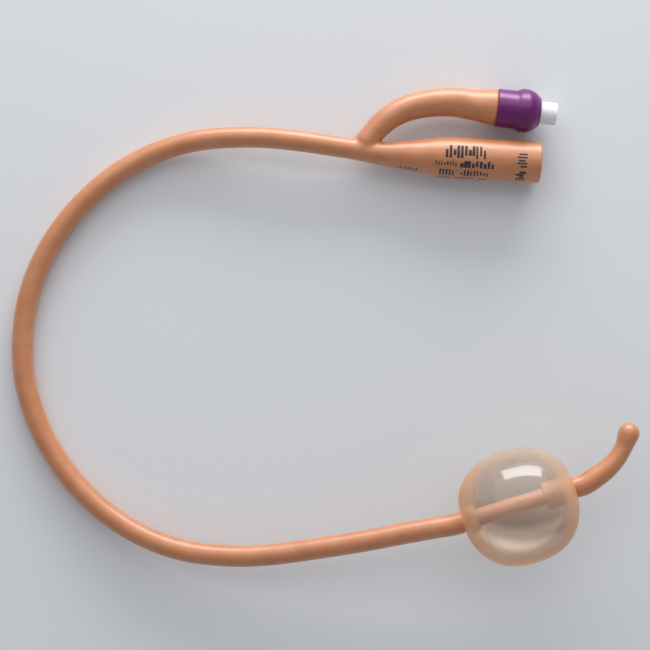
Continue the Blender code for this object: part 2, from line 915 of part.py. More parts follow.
def main():
    clear_scene()
    parts = new_collection("foley_catheter")
    cutters = new_collection("cutters")
    latex = new_material("latex", (0.62, 0.33, 0.16), 0.35)
    membrane = new_material("balloon_latex", (0.80, 0.62, 0.42), 0.15, alpha=0.5)
    sleeve = new_material("sleeve_latex", (0.16, 0.03, 0.20), 0.4)
    white = new_material("valve_plastic", (0.86, 0.87, 0.88), 0.35)
    rubber = new_material("seal_rubber", (0.10, 0.10, 0.11), 0.6)
    steel = new_material("spring_steel", (0.60, 0.60, 0.60), 0.25, metallic=1.0)
    frame = build_valve_frame(parts)
    line = TubeLine()
    build_body(line, parts, cutters, latex, frame)
    build_balloon(parts, membrane)
    build_sleeve(parts, sleeve, frame)
    build_housing(parts, white, frame)
    build_stem(parts, cutters, white, frame)
    build_seal(parts, rubber, frame)
    build_spring(parts, steel, frame)
    build_retainer(parts, white, frame)


main()
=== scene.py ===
import math
import random

import bmesh
import bpy
import numpy as np
from mathutils import Matrix, Vector


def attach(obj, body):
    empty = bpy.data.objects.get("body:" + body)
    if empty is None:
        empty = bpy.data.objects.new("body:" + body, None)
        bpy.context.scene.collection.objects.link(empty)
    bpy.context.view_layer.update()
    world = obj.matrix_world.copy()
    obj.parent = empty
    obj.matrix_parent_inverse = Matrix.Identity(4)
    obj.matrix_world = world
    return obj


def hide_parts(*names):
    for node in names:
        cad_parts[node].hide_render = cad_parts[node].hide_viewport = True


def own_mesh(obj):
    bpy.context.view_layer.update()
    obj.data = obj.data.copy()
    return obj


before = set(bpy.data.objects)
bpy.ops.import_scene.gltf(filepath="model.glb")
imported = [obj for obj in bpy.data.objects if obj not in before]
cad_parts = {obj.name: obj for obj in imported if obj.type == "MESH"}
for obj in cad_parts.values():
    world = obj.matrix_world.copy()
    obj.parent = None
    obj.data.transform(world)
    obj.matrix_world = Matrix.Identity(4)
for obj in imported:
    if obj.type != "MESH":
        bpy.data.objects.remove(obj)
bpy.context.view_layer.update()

print("frame loaded")


# Camera, straight above the loop, turned the way the picture is

cameraSet = {
    "over": (0.0003, 0.0),
    "height": 0.500,
    "turn": math.radians(2.95),
    "floorWidth": 0.1887,  # how much of the floor the picture spans
    "sensorWidth": 36,
    "clip": (0.01, 20),
}


def placeCamera(part):
    data = bpy.data.cameras.new("photoCamera")
    data.sensor_width = part["sensorWidth"]
    data.lens = part["sensorWidth"] * part["height"] / part["floorWidth"]
    data.clip_start, data.clip_end = part["clip"]
    eye = bpy.data.objects.new("photoCamera", data)
    eye.location = (*part["over"], part["height"])
    eye.rotation_euler = (0, 0, part["turn"])
    bpy.context.scene.collection.objects.link(eye)
    bpy.context.scene.camera = eye


placeCamera(cameraSet)
print("camera placed")


# The line of the tube, from the funnel's mouth to the olive tip

tubeSet = {
    "shaftRadius": 0.00305,
    "forkRadius": 0.00295,
    "fullWidthAt": 0.150,  # from the mouth, along the tube
    "mouthRadius": 0.00595,
    "shoulderRadius": 0.00595,
    "neckRadius": 0.00335,
    "funnelStraight": 0.0272,
    "funnelTaper": 0.0175,
    "funnelRunOut": 0.0100,
    "axisShare": 0.6,  # of the taper, before the funnel's axis may bend
    "cornerEase": 0.0016,
    "easeSteps": 6,
    "funnelWall": 0.00125,
    "mouthX": 0.0595,
    "funnelY": 0.0498,
    "lumenRadius": 0.00145,
    "forkCut": 0.0610,  # where the moulded fork hands over to the shaft
    "oliveRadius": 0.0030,
    "neckFromEnd": 0.0072,
    "tipNeckRadius": 0.0025,
    "tipTaper": 0.0140,
    "coreRadius": 0.0025,
}

balloonSet = {
    "radius": 0.0162,
    "halfLength": 0.0166,
    "aside": 0.0007,  # how far its filled part hangs to the loop's outer side
    "squareness": 2.3,
    "wall": 0.00035,
    "centre": (0.0572, -0.0476),
    "turn": math.radians(20.5),
    "rise": math.radians(2.5),
    "straightBefore": 0.0022,
    "straightPast": 0.0028,
    "coreHalf": 0.0158,
    "nearRecess": 0.0040,
    "farRecess": 0.0087,
    "collarInset": 0.0010,
    "clearance": 0.00045,  # between the tube and the folded-in ends
    "roll": 0.0005,
    "lip": 0.0043,
    "foldSteps": 8,
    "domeSteps": 64,
    "steps": 160,
    "sharpFrom": 60,
}

# across the floor, and how far the tube's underside is lifted off it
shaftRoute = [
    (0.0140, 0.0499, 0.0030), (0.0095, 0.0504, 0.0033), (0.0030, 0.0510, 0.0038),
    (-0.0015, 0.0514, 0.0042), (-0.0095, 0.0521, 0.0047), (-0.0197, 0.0526, 0.0044),
    (-0.0289, 0.0523, 0.0033), (-0.0380, 0.0512, 0.0020), (-0.0470, 0.0487, 0.0009),
    (-0.0553, 0.0448, 0.0003), (-0.0630, 0.0396, 0.0001), (-0.0698, 0.0333, 0.0),
    (-0.0756, 0.0261, 0.0), (-0.0804, 0.0182, 0.0), (-0.0839, 0.0097, 0.0),
    (-0.0860, 0.0007, 0.0), (-0.0866, -0.0085, 0.0), (-0.0859, -0.0177, 0.0),
    (-0.0835, -0.0266, 0.0), (-0.0798, -0.0350, 0.0), (-0.0748, -0.0428, 0.0001),
    (-0.0688, -0.0498, 0.0004), (-0.0619, -0.0558, 0.0010), (-0.0541, -0.0607, 0.0018),
    (-0.0456, -0.0644, 0.0027), (-0.0367, -0.0666, 0.0037), (-0.0275, -0.0673, 0.0046),
    (-0.0184, -0.0670, 0.0055), (-0.0093, -0.0657, 0.0065),
]
# from the ends of its straight piece at the balloon: along, to the loop's inside, and up
approachRoute = [
    (-0.0322, 0.0037, -0.0037), (-0.0232, 0.0026, -0.0026), (-0.0142, 0.0017, -0.0015),
    (-0.0063, 0.0008, -0.0006),
]
tipRoute = [
    (0.0040, 0.0011, 0.0002), (0.0073, 0.0023, 0.0003), (0.0105, 0.0041, 0.0003),
    (0.0134, 0.0066, 0.0003), (0.0160, 0.0099, 0.0003),
]
# shares of the way from the arm's root to its straight end: along, and out to the side
armRoute = [
    (0.079, 0.034), (0.177, 0.083), (0.266, 0.123), (0.356, 0.150), (0.454, 0.162),
    (0.551, 0.159), (0.647, 0.144), (0.741, 0.121), (0.832, 0.090), (0.917, 0.052),
]


def smoothLine(points, pieces=24):
    # close points on a smooth curve through the given ones, and their distances along it
    guide = [Vector(p) for p in points]
    guide = [2 * guide[0] - guide[1]] + guide + [2 * guide[-1] - guide[-2]]
    line = []
    for a, b, c, d in zip(guide, guide[1:], guide[2:], guide[3:]):
        span = (c - b).length
        leave = (c - a) / (c - a).length * span
        arrive = (d - b) / (d - b).length * span
        for k in range(pieces):
            t = k / pieces
            line.append((2 * t**3 - 3 * t**2 + 1) * b + (t**3 - 2 * t**2 + t) * leave
                        + (3 * t**2 - 2 * t**3) * c + (t**3 - t**2) * arrive)
    line = np.array(line + [guide[-2]])
    run = np.concatenate([[0], np.cumsum(np.linalg.norm(np.diff(line, axis=0), axis=1))])
    return line, run


def placeAt(path, where):
    line, run = path
    return np.stack([np.interp(where, run, line[:, k]) for k in range(3)], -1)


def headingAt(path, where, step=0.0002):
    ahead = placeAt(path, where + step) - placeAt(path, where - step)
    return ahead / np.linalg.norm(ahead)


def easedSteps(stations, where):
    # value at a distance, easing from each (distance, value) station to the next
    where = np.asarray(where, float)
    value = np.full(where.shape, float(stations[0][1]))
    for (d0, v0), (d1, v1) in zip(stations, stations[1:]):
        t = np.clip((where - d0) / (d1 - d0), 0, 1)
        value = value + (v1 - v0) * t * t * (3 - 2 * t)
    return value


def degreeSteps(start, stop, step):
    return [math.radians(angle) for angle in range(start, stop, step)]


def sideways(heading):
    # level, to the right of a heading, the outer side of the loop
    return Vector(heading).cross(Vector((0, 0, 1))).normalized()


def facing(place, heading):
    # turns what was made about Z to look along a heading from a place
    turn = Vector(heading).to_track_quat("Z", "Y").to_matrix().to_4x4()
    return Matrix.Translation(place) @ turn


def balloonPlace(part):
    axis = Vector((math.cos(part["turn"]) * math.cos(part["rise"]),
                   math.sin(part["turn"]) * math.cos(part["rise"]), math.sin(part["rise"])))
    power = part["squareness"] / (part["squareness"] - 1)
    down = part["radius"] * math.cos(part["rise"])
    tilt = part["halfLength"] * math.sin(part["rise"])
    height = (down**power + tilt**power) ** (1 / power)
    return Vector((*part["centre"], height)), axis


def wholeLine(part, balloon):
    straight = part["funnelStraight"]
    back = (0, straight / 2, straight, straight + part["funnelTaper"] * part["axisShare"])
    funnel = [(part["mouthX"] - d, part["funnelY"], part["mouthRadius"]) for d in back]
    shaft = [(x, y, part["shaftRadius"] + lift) for x, y, lift in shaftRoute]
    centre, axis = balloonPlace(balloon)
    half = balloon["halfLength"]
    stops = (-half - balloon["straightBefore"], -half, half, half + balloon["straightPast"])
    held = [centre + axis * d for d in stops]
    ahead = Vector((math.cos(balloon["turn"]), math.sin(balloon["turn"]), 0))

    def toldFrom(place, along, inward, up):
        return place + ahead * along - sideways(ahead) * inward + Vector((0, 0, up))

    approach = [toldFrom(held[0], *step) for step in approachRoute]
    tip = [toldFrom(held[-1], *step) for step in tipRoute]
    end = tip[-1] + (tip[-1] - tip[-2]).normalized() * part["oliveRadius"]
    return smoothLine(funnel + shaft + approach + held + tip + [end])


tubePath = wholeLine(tubeSet, balloonSet)
tubeEnd = tubePath[1][-1]
neckAt = tubeSet["funnelStraight"] + tubeSet["funnelTaper"]
balloonCentre, balloonAxis = balloonPlace(balloonSet)
balloonAt = tubePath[1][np.linalg.norm(tubePath[0] - np.array(balloonCentre), axis=1).argmin()]
nearStep = balloonAt - balloonSet["coreHalf"]
farStep = balloonAt + balloonSet["coreHalf"]


def outerRadius(where, part=tubeSet):
    # radius of the moulded tube at distances from the mouth
    where = np.asarray(where, float)
    places = [0, part["funnelStraight"], neckAt, neckAt + part["funnelRunOut"],
              part["fullWidthAt"]]
    sizes = [part["mouthRadius"], part["shoulderRadius"], part["neckRadius"],
             part["forkRadius"], part["shaftRadius"]]
    steps = part["easeSteps"]
    nearby = [where + part["cornerEase"] * k / steps for k in range(-steps, steps + 1)]
    body = sum(np.interp(w, places, sizes) for w in nearby) / len(nearby)
    left = tubeEnd - where
    olive = part["oliveRadius"]
    tipStart = part["neckFromEnd"] + part["tipTaper"]
    tip = easedSteps([(olive, olive), (part["neckFromEnd"], part["tipNeckRadius"]),
                      (tipStart, part["shaftRadius"])], left)
    ball = np.sqrt(np.clip(olive**2 - np.clip(olive - left, 0, olive) ** 2, 0, None))
    return np.where(left < tipStart, np.where(left < olive, ball, tip), body)


# Shader nodes

def fillSockets(tree, node, sockets):
    # each takes a number, a colour or another node's output
    for label, value in sockets.items():
        socket = node.inputs[label]
        if isinstance(value, bpy.types.NodeSocket):
            tree.links.new(value, socket)
        elif socket.type == "RGBA":
            socket.default_value = (*value, 1.0)
        else:
            socket.default_value = value


def addNode(tree, kind, sockets, output, **settings):
    node = tree.nodes.new(kind)
    for name, value in settings.items():
        setattr(node, name, value)
    fillSockets(tree, node, sockets)
    return node.outputs[output]


def mathNode(tree, operation, *values):
    return addNode(tree, "ShaderNodeMath", dict(enumerate(values)), "Value",
                   operation=operation)


def mixColour(tree, share, first, second):
    return addNode(tree, "ShaderNodeMix", {"Factor": share, "A": first, "B": second},
                   "Result", data_type="RGBA")


def newGroup(name, kind, inputs, outputs):
    # a node group, what it is given, its end, and the identifiers of its inputs
    tree = bpy.data.node_groups.new(name, kind)
    ids = {}
    for label, sort in inputs.items():
        ids[label] = tree.interface.new_socket(
            label, in_out="INPUT", socket_type="NodeSocket" + sort).identifier
    for label, sort in outputs.items():
        tree.interface.new_socket(label, in_out="OUTPUT", socket_type="NodeSocket" + sort)
    given = tree.nodes.new("NodeGroupInput").outputs
    return tree, given, tree.nodes.new("NodeGroupOutput"), ids


def objectPlace(tree):
    return addNode(tree, "ShaderNodeTexCoord", {}, "Object")


def newMaterial(name):
    material = bpy.data.materials.new(name)
    material.use_nodes = True
    tree = material.node_tree
    return material, tree, tree.nodes["Principled BSDF"]


# Rubber, with cloudy two-tone colour and the fine unevenness of a dipped or moulded skin

skinSet = {
    "patches": {"Detail": 3, "Roughness": 0.55},
    "grain": {"Detail": 4, "Roughness": 0.6},
    "contrast": {"From Min": 0.3, "From Max": 0.7},
    "bump": {"Strength": 0.25, "Distance": 0.00002},
}

latexSet = {
    "skin": {"Light": (0.665, 0.274, 0.120), "Deep": (0.595, 0.221, 0.082),
             "Patch Scale": 210, "Grain Scale": 5200,
             "Roughness": 0.43, "Roughness Spread": 0.10},
    "shader": {"Subsurface Weight": 0.30, "Subsurface Radius": (1.0, 0.42, 0.16),
               "Subsurface Scale": 0.0018, "IOR": 1.52,
               "Coat Weight": 0.62, "Coat Roughness": 0.37, "Coat IOR": 1.7},
}

# the tube inside the balloon, less shiny, and paler: partly its own bare latex, partly painted
# light against the balloon's shade
coreLatexSet = {
    "skin": {**latexSet["skin"], "Light": (0.86, 0.44, 0.285), "Deep": (0.80, 0.38, 0.225)},
    "shader": {**latexSet["shader"], "Coat Weight": 0.25},
}

sleeveRubberSet = {
    "skin": {"Light": (0.145, 0.002, 0.135), "Deep": (0.104, 0.001, 0.092),
             "Patch Scale": 300, "Grain Scale": 6500,
             "Roughness": 0.40, "Roughness Spread": 0.10},
    "shader": {"Specular IOR Level": 0.70, "Specular Tint": (1.0, 0.45, 1.0),
               "Coat Weight": 0.40, "Coat Roughness": 0.26, "Coat IOR": 1.75},
}


def makeRubberSkin(part):
    tree, given, made, _ = newGroup(
        "rubberSkin", "ShaderNodeTree",
        {"Light": "Color", "Deep": "Color", "Patch Scale": "Float", "Grain Scale": "Float",
         "Roughness": "Float", "Roughness Spread": "Float"},
        {"Color": "Color", "Roughness": "Float", "Height": "Float"})
    place = objectPlace(tree)
    patches = addNode(tree, "ShaderNodeTexNoise",
                      {"Vector": place, "Scale": given["Patch Scale"], **part["patches"]}, "Fac")
    grain = addNode(tree, "ShaderNodeTexNoise",
                    {"Vector": place, "Scale": given["Grain Scale"], **part["grain"]}, "Fac")
    share = addNode(tree, "ShaderNodeMapRange", {"Value": patches, **part["contrast"]}, "Result")
    centred = mathNode(tree, "SUBTRACT", grain, 0.5)
    fillSockets(tree, made, {
        "Color": mixColour(tree, share, given["Light"], given["Deep"]),
        "Roughness": mathNode(tree, "MULTIPLY_ADD", centred, given["Roughness Spread"],
                              given["Roughness"]),
        "Height": grain,
    })
    return tree


rubberSkin = makeRubberSkin(skinSet)


def makeRubber(name, part):
    material, tree, shader = newMaterial(name)
    skin = tree.nodes.new("ShaderNodeGroup")
    skin.node_tree = rubberSkin
    fillSockets(tree, skin, part["skin"])
    relief = addNode(tree, "ShaderNodeBump",
                     {"Height": skin.outputs["Height"], **skinSet["bump"]}, "Normal")
    fillSockets(tree, shader, {
        "Base Color": skin.outputs["Color"], "Roughness": skin.outputs["Roughness"],
        "Normal": relief, **part["shader"]})
    return material


# The balloon's film, clear round the middle, amber where it is thick or seen edge on, with
# painted light, shade and sheen

membraneSet = {
    "middle": (0.42, 0.345, 0.265),
    "rim": (0.73, 0.44, 0.235),
    # painted sheen: the rim paler and less amber on the side towards the lamps
    "paintedSheenRim": (0.56, 0.44, 0.335),  # towards the top of the picture
    # painted shade: a darker, more covering film below the tube, between it and the glow
    "paintedShade": (0.27, 0.185, 0.125),  # between the tube and the glow
    "folded": (1.0, 0.58, 0.38),
    # painted light: a pale crescent set in the far wall's colour and cover
    "glow": (0.97, 0.79, 0.67),  # the far wall, where light that came in falls on it
    # how much one surface covers, in the clear middle and added elsewhere
    "cover": 0.20,
    "rimCover": 0.46,
    "foldedCover": 0.32,
    "glowCover": 0.44,
    "paintedShadeCover": 0.22,
    "mostCover": 0.96,
    "shade": 0.18,  # how much of its cover holds light back
    # where each starts and is full: of the lip, the half length or the radius
    "stretchedReach": (0.95, 1.5),
    "endReach": (0.45, 1.0),
    "edgeOnReach": (0.15, 0.85),
    "farWallReach": (0.15, 0.45),
    "glowReach": (0.43, 0.63),
    "insideReach": (-0.96, -0.84),
    "paintedSheenReach": (0.40, 0.85),
    "paintedShadeReach": (0.0, 0.35),
    "pictureLow": (-0.35, -0.94),  # which way the picture's foot is, in its own axes
    "glowBend": 0.40,
    "clouds": {"Scale": 170, "Detail": 3},
    "cloudShare": 0.10,
    "rimShare": 0.75,
    "endShare": 0.45,
    "amberGain": 1.4,
    "roughness": (0.26, 0.40),
    "coat": 0.95,
    "shader": {"IOR": 1.45, "Coat Roughness": 0.09, "Coat IOR": 2.2,
               "Subsurface Weight": 0.5, "Subsurface Radius": (1.0, 0.72, 0.45),
               "Subsurface Scale": 0.0012},
}


def makeMembrane(part, look):
    material, tree, shader = newMaterial("stretchedLatex")
    radius = part["radius"]
    lowX, lowY = look["pictureLow"]
    glossy, dulled = look["roughness"]

    def calc(operation, *values):
        return mathNode(tree, operation, *values)

    def times(first, second, *plus):
        return calc("MULTIPLY_ADD" if plus else "MULTIPLY", first, second, *plus)

    def rising(value, reach, size=1):
        low, high = look[reach]
        return addNode(tree, "ShaderNodeMapRange",
                       {"Value": value, "From Min": low * size, "From Max": high * size},
                       "Result", interpolation_type="SMOOTHSTEP")

    place = objectPlace(tree)
    centred = addNode(tree, "ShaderNodeMapping", {
        "Vector": place, "Location": balloonCentre,
        "Rotation": balloonAxis.to_track_quat("X", "Z").to_euler()},
        "Vector", vector_type="TEXTURE")
    split = tree.nodes.new("ShaderNodeSeparateXYZ")
    fillSockets(tree, split, {"Vector": centred})
    x, y, z = split.outputs
    outward = calc("SQRT", times(z, z, times(y, y)))
    stretched = rising(outward, "stretchedReach", part["lip"])
    folded = calc("SUBTRACT", 1.0, stretched)
    atEnds = rising(calc("ABSOLUTE", x), "endReach", part["halfLength"])
    edgeOn = addNode(tree, "ShaderNodeLayerWeight", {"Blend": 0.5}, "Facing")
    atRim = rising(edgeOn, "edgeOnReach")
    clouds = addNode(tree, "ShaderNodeTexNoise", {"Vector": place, **look["clouds"]}, "Fac")
    thick = times(atRim, look["rimShare"], times(clouds, look["cloudShare"]))
    thick = times(atEnds, look["endShare"], thick)
    thick = times(calc("MINIMUM", thick, 1.0), stretched)
    below = rising(calc("DIVIDE", z, -radius), "farWallReach")
    down = times(x, lowX / radius, times(y, lowY / radius))
    side = times(x, -lowY / radius, times(y, lowX / radius))
    bow = times(side, times(side, look["glowBend"]), down)
    low = rising(bow, "glowReach")
    plan = calc("SQRT", times(side, side, times(down, down)))
    inside = rising(times(plan, -1.0), "insideReach")
    # painted light on the far wall, the glow
    glow = times(times(below, low), inside)
    # painted shade below the tube, inside the far wall's edge
    paintedShade = times(rising(down, "paintedShadeReach"), inside)
    paintedShade = times(paintedShade, calc("SUBTRACT", 1.0, low))
    # painted sheen, rising towards the lamps' side of the rim
    high = rising(times(down, -1.0), "paintedSheenReach")
    amber = calc("MINIMUM", times(thick, look["amberGain"]), 1.0)

    tone = mixColour(tree, paintedShade, look["middle"], look["paintedShade"])
    tone = mixColour(tree, amber, tone, mixColour(tree, high, look["rim"], look["paintedSheenRim"]))
    tone = mixColour(tree, glow, tone, look["glow"])
    tone = mixColour(tree, folded, tone, look["folded"])
    cover = times(thick, look["rimCover"], look["cover"])
    for share, added in ((folded, "foldedCover"), (glow, "glowCover"), (paintedShade, "paintedShadeCover")):
        cover = times(share, look[added], cover)
    shadowRay = addNode(tree, "ShaderNodeLightPath", {}, "Is Shadow Ray")
    kept = times(shadowRay, look["shade"] - 1, 1.0)
    dull = calc("MAXIMUM", calc("MAXIMUM", below, folded), atRim)
    fillSockets(tree, shader, {
        "Base Color": tone,
        "Alpha": times(calc("MINIMUM", cover, look["mostCover"]), kept),
        "Roughness": times(dull, dulled - glossy, glossy),
        "Coat Weight": times(dull, -look["coat"], look["coat"]),
        **look["shader"]})
    return material


# Plastic, steel, plain rubber and ink, each with a slight haze

hazeSet = {"noise": {"Scale": 900, "Detail": 3}, "darker": 0.93, "spread": 0.05}

mouldedSet = {
    "whitePlastic": {"base": (0.98, 0.98, 1.0), "roughness": 0.30, "shader": {
        "Subsurface Weight": 0.3, "Subsurface Radius": (1, 1, 1), "Subsurface Scale": 0.003}},
    "blackRubber": {"base": (0.02, 0.02, 0.022), "roughness": 0.6, "shader": {}},
    "springSteel": {"base": (0.55, 0.55, 0.56), "roughness": 0.25, "shader": {"Metallic": 1.0}},
    "darkInk": {"base": (0.035, 0.028, 0.048), "roughness": 0.45, "shader": {}},
    "fadedInk": {"base": (0.20, 0.10, 0.065), "roughness": 0.45, "shader": {}},
}


def makeMoulded(name, part, haze):
    material, tree, shader = newMaterial(name)
    noise = addNode(tree, "ShaderNodeTexNoise",
                    {"Vector": objectPlace(tree), **haze["noise"]}, "Fac")
    darker = [c * haze["darker"] for c in part["base"]]
    finish = addNode(tree, "ShaderNodeMapRange", {
        "Value": noise, "To Min": part["roughness"] - haze["spread"],
        "To Max": part["roughness"] + haze["spread"]}, "Result")
    fillSockets(tree, shader, {
        "Base Color": mixColour(tree, noise, part["base"], darker),
        "Roughness": finish, **part["shader"]})
    return material


latex = makeRubber("tanLatex", latexSet)
coreLatex = makeRubber("coreLatex", coreLatexSet)
sleeveRubber = makeRubber("purpleRubber", sleeveRubberSet)
membrane = makeMembrane(balloonSet, membraneSet)
moulded = {name: makeMoulded(name, part, hazeSet) for name, part in mouldedSet.items()}
print("materials made")


# Meshes: from nothing, from an object's modifiers, and mended

def addPiece(name, data):
    piece = bpy.data.objects.new(name, data)
    bpy.context.scene.collection.objects.link(piece)
    return piece


def builtMesh(name, build):
    shape = bmesh.new()
    build(shape)
    mesh = bpy.data.meshes.new(name)
    shape.to_mesh(mesh)
    shape.free()
    return mesh


def reworked(mesh, *steps):
    shape = bmesh.new()
    shape.from_mesh(mesh)
    for step in steps:
        step(shape)
    shape.to_mesh(mesh)
    shape.free()
    return mesh


def bakedCopy(source, name):
    # plain mesh of an object as its modifiers leave it; the source goes
    bpy.context.view_layer.update()
    shown = source.evaluated_get(bpy.context.evaluated_depsgraph_get())
    mesh = bpy.data.meshes.new_from_object(shown)
    mesh.name = name
    bpy.data.objects.remove(source, do_unlink=True)
    return mesh


def faceOutwards(shape):
    bmesh.ops.recalc_face_normals(shape, faces=shape.faces)


def welded(reach):
    def weld(shape):
        bmesh.ops.remove_doubles(shape, verts=shape.verts, dist=reach)
    return weld


def dropTwins(shape):
    # folds of no thickness, which a cut can leave, go with both their faces
    bmesh.ops.triangulate(shape, faces=shape.faces)
    first, twins = {}, []
    for face in shape.faces:
        corners = frozenset(face.verts)
        if corners in first:
            twins += [first.pop(corners), face]
        else:
            first[corners] = face
    bmesh.ops.delete(shape, geom=twins, context="FACES")


def painted(mesh, material):
    mesh.materials.clear()
    mesh.materials.append(material)
    return mesh


def showPiece(name, mesh, node="catheter_body", angle=35):
    # a finished piece of the catheter, in the place of a CAD node
    mesh.shade_smooth()
    mesh.set_sharp_from_angle(angle=math.radians(angle))
    piece = addPiece(name, mesh)
    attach(piece, "catheter")
    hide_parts(node)
    return piece


def getPoints(mesh):
    flat = np.empty(len(mesh.vertices) * 3)
    mesh.vertices.foreach_get("co", flat)
    return flat.reshape(-1, 3)


def setPoints(mesh, points):
    mesh.vertices.foreach_set("co", points.reshape(-1))
    mesh.update()


def joined(name, meshes):
    def gather(shape):
        for mesh in meshes:
            shape.from_mesh(mesh)

    result = builtMesh(name, gather)
    for mesh in meshes:
        bpy.data.meshes.remove(mesh)
    return result


def voxelCopy(mesh, size, name):
    source = addPiece(name, mesh)
    grid = source.modifiers.new("grid", "REMESH")
    grid.mode = "VOXEL"
    grid.voxel_size = size
    grid.use_smooth_shade = True
    return bakedCopy(source, name)


def cut(mesh, cutters, name):
    # the mesh with the cutter meshes taken away
    body = addPiece(name, mesh)
    tools = [addPiece(f"{name}Cutter{k}", cutter) for k, cutter in enumerate(cutters)]
    for tool in tools:
        take = body.modifiers.new(tool.name, "BOOLEAN")
        take.operation = "DIFFERENCE"
        take.solver = "EXACT"
        take.object = tool
    result = bakedCopy(body, name)
    for tool in tools:
        bpy.data.objects.remove(tool, do_unlink=True)
    return reworked(result, welded(1e-6), dropTwins)


# Tubes from a line, made with geometry nodes

def smoothTubeTree():
    tree, given, made, ids = newGroup(
        "smoothTube", "GeometryNodeTree",
        {"Geometry": "Geometry", "Ring Spacing": "Float", "Sides": "Int", "Skin": "Material"},
        {"Geometry": "Geometry"})
    rings = addNode(tree, "GeometryNodeResampleCurve",
                    {"Curve": given["Geometry"], "Length": given["Ring Spacing"]},
                    "Curve", mode="LENGTH")
    circle = addNode(tree, "GeometryNodeCurvePrimitiveCircle",
                     {"Resolution": given["Sides"], "Radius": 1.0}, "Curve")
    width = addNode(tree, "GeometryNodeInputRadius", {}, "Radius")
    skin = addNode(tree, "GeometryNodeCurveToMesh", {
        "Curve": rings, "Profile Curve": circle, "Scale": width, "Fill Caps": True}, "Mesh")
    smooth = addNode(tree, "GeometryNodeSetShadeSmooth", {"Geometry": skin}, "Geometry")
    real = addNode(tree, "GeometryNodeRealizeInstances", {"Geometry": smooth}, "Geometry")
    paint = addNode(tree, "GeometryNodeSetMaterial",
                    {"Geometry": real, "Material": given["Skin"]}, "Geometry")
    fillSockets(tree, made, {"Geometry": paint})
    return tree, ids


tubeTree, tubeInputs = smoothTubeTree()


def tubeMesh(name, places, radii, part, material):
    data = bpy.data.curves.new(name + "Line", "CURVE")
    data.dimensions = "3D"
    spline = data.splines.new("POLY")
    spline.points.add(len(places) - 1)
    for point, place, radius in zip(spline.points, places, radii):
        point.co = (*place, 1.0)
        point.radius = radius
    line = addPiece(name + "Line", data)
    grow = line.modifiers.new("smoothTube", "NODES")
    grow.node_group = tubeTree
    grow[tubeInputs["Ring Spacing"]] = part["spacing"]
    grow[tubeInputs["Sides"]] = part["sides"]
    grow[tubeInputs["Skin"]] = material
    return reworked(bakedCopy(line, name), welded(1e-7), faceOutwards)


def turnedMesh(name, profile, steps, material, ring=False):
    # profile of (radius, height) turned about Z, in place at the origin
    mesh = bpy.data.meshes.new(name)
    edges = [(k, k + 1) for k in range(len(profile) - 1)]
    if ring:
        edges.append((len(profile) - 1, 0))
    mesh.from_pydata([(r, 0, z) for r, z in profile], edges, [])
    source = addPiece(name + "Profile", mesh)
    turn = source.modifiers.new("turn", "SCREW")
    turn.steps = steps
    turn.render_steps = steps
    turn.use_merge_vertices = True
    turn.merge_threshold = 1e-6
    return reworked(painted(bakedCopy(source, name), material), faceOutwards)


# The shaft, a hose from the fork to the balloon

shaftSet = {"samples": 700, "spacing": 0.0011, "sides": 56, "length": 0.285, "diameter": 0.0061}


def makeShaft(part):
    where = np.linspace(tubeSet["forkCut"], nearStep, part["samples"])
    places, radii = placeAt(tubePath, where), outerRadius(where)
    piece = showPiece("shaftTube", tubeMesh("shaftTube", places, radii, part, latex))


makeShaft(shaftSet)
print("shaft made", round(nearStep - tubeSet["forkCut"], 4))


# Blending of round forms, so that one grows out of the other as a moulding does

def toTube(points, line, radii, block=4000, capShare=0.01):
    # how far points lie outside a tube, which way is out, and which lie past its ends
    start, step = line[:-1], np.diff(line, axis=0)
    square = (step**2).sum(1)
    outside, heading = np.empty(len(points)), np.empty((len(points), 3))
    past = np.zeros(len(points), bool)
    for a in range(0, len(points), block):
        some = points[a:a + block]
        share = np.clip(((some[:, None] - start) * step).sum(2) / square, 0, 1)
        gap = some[:, None] - (start + step * share[..., None])
        away = np.linalg.norm(gap, axis=2)
        best = away.argmin(1)
        pick = np.arange(len(some))
        share, away, gap = share[pick, best], away[pick, best], gap[pick, best]
        width = radii[best] + (radii[best + 1] - radii[best]) * share
        outside[a:a + block] = away - width
        heading[a:a + block] = gap / np.maximum(away, 1e-9)[:, None]
        past[a:a + block] = (best + share < capShare) | (best + share > len(step) - capShare)
    return outside, heading, past


def toEgg(points, centre, axes, sizes):
    # rough distance outside an egg shape, and which way is out
    local = (points - centre) @ np.array(axes).T
    scaled = local / sizes
    reach = np.maximum(np.linalg.norm(scaled, axis=1), 1e-6)
    slope = scaled / sizes / reach[:, None]
    steep = np.linalg.norm(slope, axis=1)
    return (reach - 1) / steep, (slope / steep[:, None]) @ np.array(axes)


def blended(first, second, reach):
    # smooth union of two (distance, heading) fields
    (a, toA), (b, toB) = first, second
    share = np.clip(0.5 + 0.5 * (b - a) / reach, 0, 1)
    value = b * (1 - share) + a * share - reach * share * (1 - share)
    heading = toB * (1 - share)[:, None] + toA * share[:, None]
    return value, heading / np.linalg.norm(heading, axis=1)[:, None]


def carved(first, second, reach):
    # first with second smoothly taken away
    value, heading = blended((-first[0], -first[1]), second, reach)
    return -value, -heading


def settle(mesh, field, rounds=4):
    # moves each point onto the surface where the field is zero
    points = getPoints(mesh)
    for _ in range(rounds):
        value, heading, fixed = field(points)
        value = np.where(fixed, 0, value)
        points = points - heading * value[:, None]
    setPoints(mesh, points)


# The funnel, the fork and the inflation arm, one moulding

mouthSet = {
    "rimRound": 0.0005,
    "rimUnder": 0.9,  # of the rounding, where the cutter leaves the rim
    "boreRound": 0.0002,
    "boreMiddle": 0.3,
    "ease": (0.0012, 0.0006),  # behind and before each change of taper
    "easeStep": 0.0002,
    "lumenPastNeck": 0.008,
    "aside": 0.001,
    "ahead": 0.004,
    "steps": 128,
}

